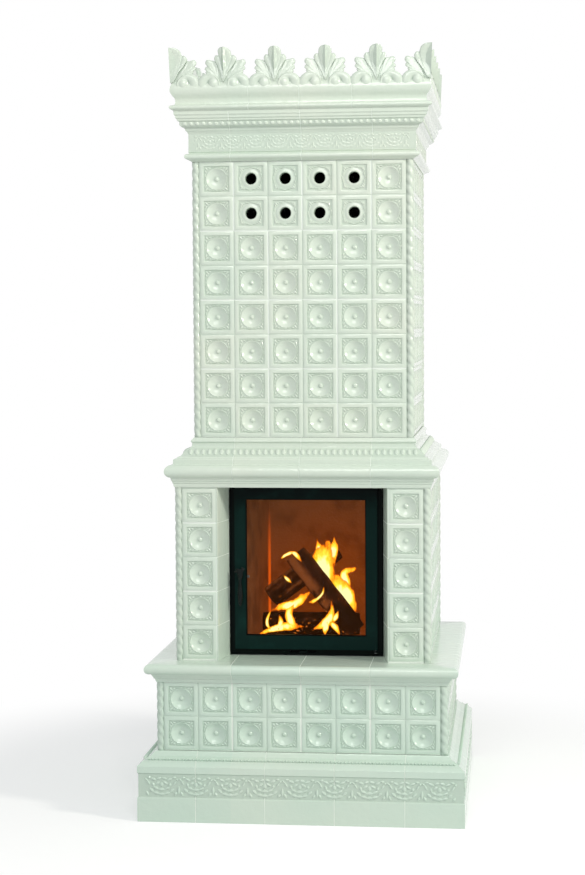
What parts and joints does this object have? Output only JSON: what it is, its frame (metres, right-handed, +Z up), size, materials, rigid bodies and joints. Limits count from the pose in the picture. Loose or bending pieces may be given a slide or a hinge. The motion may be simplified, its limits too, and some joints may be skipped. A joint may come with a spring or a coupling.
{
  "type": "tiled stove",
  "caption": "Free-standing square tiled stove with glazed bowl tiles, a stepped plinth and ledge, a glass-fronted fire door, and a leaf gallery round its top.",
  "frame": {"origin": "on the floor under the middle of the stove", "axes": "+X to the right seen from the front, -Y out of the front (the fire door faces -Y), +Z up"},
  "size_m": [1.052, 1.052, 2.477],
  "materials": {
    "glaze": "glossy pale green-white stove glaze over relief, pooled darker in the recesses, with slight colour differences from tile to tile",
    "black_steel": "satin near-black heat-resistant paint",
    "raw_steel": "unpainted mild steel, heat-blued and dull",
    "grate_iron": "rough grey iron with ash",
    "fireclay": "matt buff firebrick, sooted",
    "aerated_block": "matt pale porous block",
    "door_glass": "clear ceramic glass",
    "split_wood": "split firewood, charred where it burns"
  },
  "bodies": {
    "stove": {"plinth_front": "glaze", "plinth_right": "glaze", "plinth_back": "glaze", "plinth_left": "glaze", "bench_front": "glaze", "bench_right": "glaze", "bench_back": "glaze", "bench_left": "glaze", "ledge_front": "glaze", "ledge_right": "glaze", "ledge_back": "glaze", "ledge_left": "glaze", "surround_right": "glaze", "surround_back": "glaze", "surround_left": "glaze", "pillar_left": "glaze", "pillar_right": "glaze", "jamb_left": "glaze", "jamb_right": "glaze", "mantel_front": "glaze", "mantel_right": "glaze", "mantel_back": "glaze", "mantel_left": "glaze", "tower_front": "glaze", "vent_tile_left": "glaze", "vent_tile_right": "glaze", "tower_right": "glaze", "tower_back": "glaze", "tower_left": "glaze", "cornice_front": "glaze", "cornice_right": "glaze", "cornice_back": "glaze", "cornice_left": "glaze", "gallery_front": "glaze", "gallery_right": "glaze", "gallery_back": "glaze", "gallery_left": "glaze", "top_cover": "aerated_block", "pedestal": "aerated_block", "firebox_body": "raw_steel", "door_frame": "black_steel", "lining_left": "fireclay", "lining_right": "fireclay", "lining_back": "fireclay", "hearth_plate": "fireclay", "grate": "grate_iron", "ash_pan": "raw_steel", "baffle": "fireclay", "flue_pipe": "black_steel", "hinge_pin_top": "raw_steel", "hinge_pin_bottom": "raw_steel", "log_base": "split_wood", "log_left": "split_wood", "log_right": "split_wood"},
    "door": {"door_leaf": "black_steel", "glass_pane": "door_glass", "glass_retainer": "black_steel"},
    "handle": {"handle_lever": "black_steel", "latch_cam": "raw_steel"},
    "air_control": {"air_slider": "black_steel"}
  },
  "joints": [
    {"name": "door_hinge", "type": "hinge", "parent": "stove", "child": "door", "pos_m": [0.229, -0.298, 0.8], "axis": [0, 0, 1], "range_deg": [0, 100]},
    {"name": "handle_turn", "type": "hinge", "parent": "door", "child": "handle", "pos_m": [-0.2145, -0.31, 0.765], "axis": [0, -1, 0], "range_deg": [0, 90]},
    {"name": "air_slide", "type": "slide", "parent": "stove", "child": "air_control", "axis": [1, 0, 0], "range_m": [-0.03, 0.03]}
  ]
}
